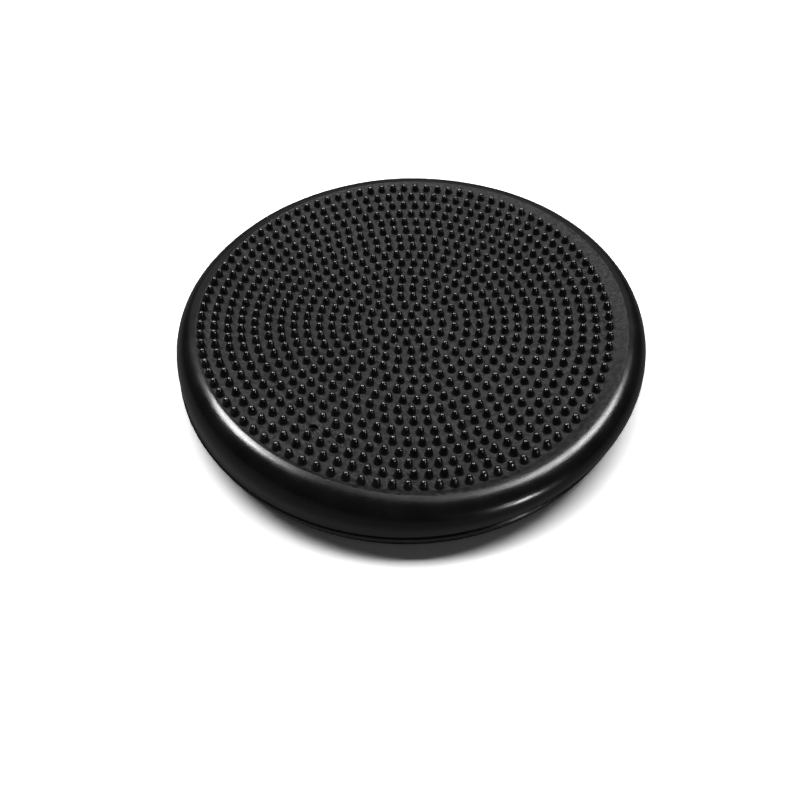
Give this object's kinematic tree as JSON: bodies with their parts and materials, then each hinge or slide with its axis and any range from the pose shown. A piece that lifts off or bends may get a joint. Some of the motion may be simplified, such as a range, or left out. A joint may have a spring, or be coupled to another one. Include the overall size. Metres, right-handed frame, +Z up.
{
  "type": "wobble cushion",
  "caption": "Round air-filled balance cushion with a dished top covered in rings of massage nubs, a rolled rim and a needle valve in the nubbed face.",
  "frame": {"origin": "on the floor, under the middle of the disc", "axes": "+Z up through the middle of the disc, square to the floor; -Y is the front, the side the valve is nearest to"},
  "size_m": [0.33, 0.33, 0.0577],
  "materials": {
    "pvc_face": "satin",
    "pvc_rim": "satin gloss",
    "pvc_nub": "satin",
    "pvc_underside": "satin",
    "valve_rubber": "matte"
  },
  "bodies": {
    "base": {"lower_face": "pvc_underside", "grip_dots": "pvc_underside"},
    "rim": {"lower_wall": "pvc_rim", "seam_flange": "pvc_rim", "upper_wall": "pvc_rim"},
    "top": {"upper_face": "pvc_face", "massage_nubs": "pvc_nub", "valve_boss": "pvc_face", "valve_core": "valve_rubber"}
  },
  "joints": [
    {"name": "rock_fore_aft", "type": "hinge", "parent": "base", "child": "rim", "pos_m": [0, 0, 0.0275], "axis": [1, 0, 0], "range_deg": [-4.5, 4.5], "stiffness_Nm_per_rad": 120, "deforming": ["lower_wall"]},
    {"name": "rock_side_to_side", "type": "hinge", "parent": "rim", "child": "top", "pos_m": [0, 0, 0.0275], "axis": [0, 1, 0], "range_deg": [-4.5, 4.5], "stiffness_Nm_per_rad": 120, "deforming": ["upper_wall"]}
  ]
}
